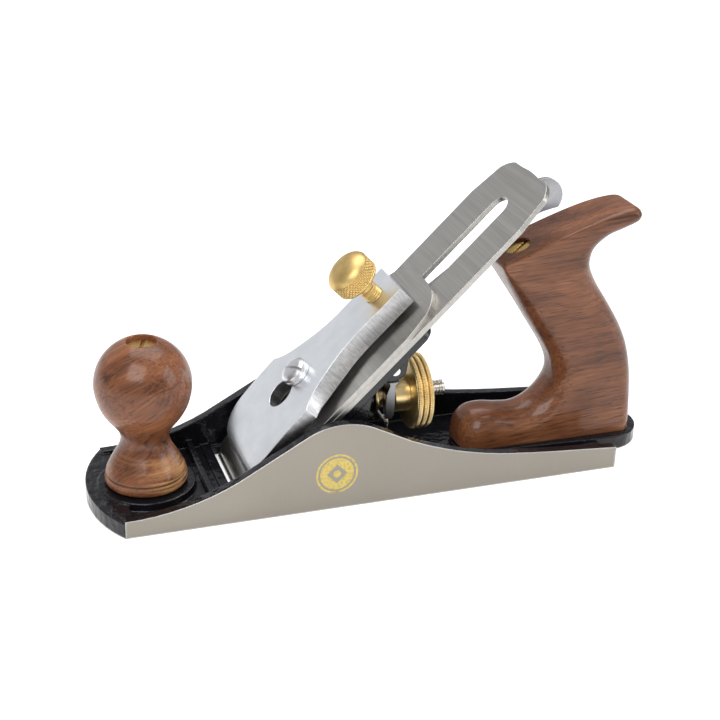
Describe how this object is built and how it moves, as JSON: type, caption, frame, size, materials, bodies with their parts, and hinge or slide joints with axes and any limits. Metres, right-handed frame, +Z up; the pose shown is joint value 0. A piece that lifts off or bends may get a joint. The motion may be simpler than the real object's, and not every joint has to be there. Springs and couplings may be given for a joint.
{
  "type": "bench smoothing plane",
  "caption": "Metal-bodied smoothing plane with a wooden knob and handle, a slotted cutter under a keyhole lever cap with a thumbscrew, and a brass depth wheel.",
  "frame": {"origin": "on the ground sole, in the middle of the overall length and width", "axes": "+X from the toe to the heel, +Y across the body towards the far cheek, +Z up from the sole"},
  "size_m": [0.255, 0.064, 0.1308],
  "materials": {
    "black_enamel": "gloss",
    "walnut": "gloss",
    "brass": "satin",
    "bright_steel": "satin",
    "cutter_steel": "satin",
    "polished_cap": "gloss"
  },
  "bodies": {
    "body": {"sole_casting": "black_enamel", "front_knob": "walnut", "knob_bolt": "bright_steel", "knob_nut": "brass", "rear_tote": "walnut", "tote_bolt": "bright_steel", "tote_nut": "brass", "frog_screws": "bright_steel", "frog_washers": "bright_steel"},
    "frog": {"frog": "black_enamel", "depth_stud": "bright_steel", "y_lever_pin": "bright_steel", "lateral_pivot": "bright_steel", "frog_adjusting_plate": "bright_steel", "frog_plate_screw": "bright_steel"},
    "frog_adjuster": {"frog_adjusting_screw": "bright_steel"},
    "depth_wheel": {"depth_nut": "brass"},
    "fork": {"y_lever": "bright_steel"},
    "lateral": {"lateral_lever": "bright_steel", "lateral_roller": "bright_steel"},
    "irons": {"cutter": "cutter_steel", "cap_iron": "cutter_steel", "cap_iron_screw": "bright_steel"},
    "lever_cap": {"lever_cap": "polished_cap"},
    "thumbscrew": {"cap_thumbscrew": "brass"},
    "cap_screw": {"lever_cap_screw": "bright_steel"}
  },
  "joints": [
    {"name": "frog_slide", "type": "slide", "parent": "body", "child": "frog", "axis": [-1, 0, 0], "range_m": [0, 0.0015]},
    {"name": "frog_adjuster_turn", "type": "hinge", "parent": "frog", "child": "frog_adjuster", "pos_m": [0, 0, 0.0095], "axis": [1, 0, 0], "range_deg": [0, 675]},
    {"name": "depth_wheel_turn", "type": "hinge", "parent": "frog", "child": "depth_wheel", "pos_m": [0.012, 0, 0.0342], "axis": [1, 0, 0], "range_deg": [-540, 180]},
    {"name": "fork_tilt", "type": "hinge", "parent": "frog", "child": "fork", "pos_m": [0.004, 0, 0.05], "axis": [0, -1, 0], "range_deg": [-5.13, 1.71]},
    {"name": "iron_depth", "type": "slide", "parent": "frog", "child": "irons", "axis": [-0.7071, 0, -0.7071], "range_m": [-0.00135, 0.00045]},
    {"name": "lateral_swing", "type": "hinge", "parent": "frog", "child": "lateral", "pos_m": [0.00703, 0, 0.07283], "axis": [-0.7071, 0, 0.7071], "range_deg": [-5, 5]},
    {"name": "cap_slide", "type": "slide", "parent": "frog", "child": "lever_cap", "axis": [0.7071, 0, 0.7071], "range_m": [0, 0.0111]},
    {"name": "thumbscrew_turn", "type": "hinge", "parent": "lever_cap", "child": "thumbscrew", "pos_m": [0.00632, 0, 0.07212], "axis": [-0.7071, 0, 0.7071], "range_deg": [-720, 0]},
    {"name": "cap_screw_turn", "type": "hinge", "parent": "frog", "child": "cap_screw", "pos_m": [-0.02656, 0, 0.03924], "axis": [-0.7071, 0, 0.7071], "range_deg": [-180, 180]}
  ],
  "couplings": [
    {"joint": "frog_adjuster_turn", "follows": "frog_slide", "rad_per_m": 7854},
    {"joint": "depth_wheel_turn", "follows": "iron_depth", "rad_per_m": 6981.3},
    {"joint": "fork_tilt", "follows": "iron_depth", "rad_per_m": 66.225}
  ]
}
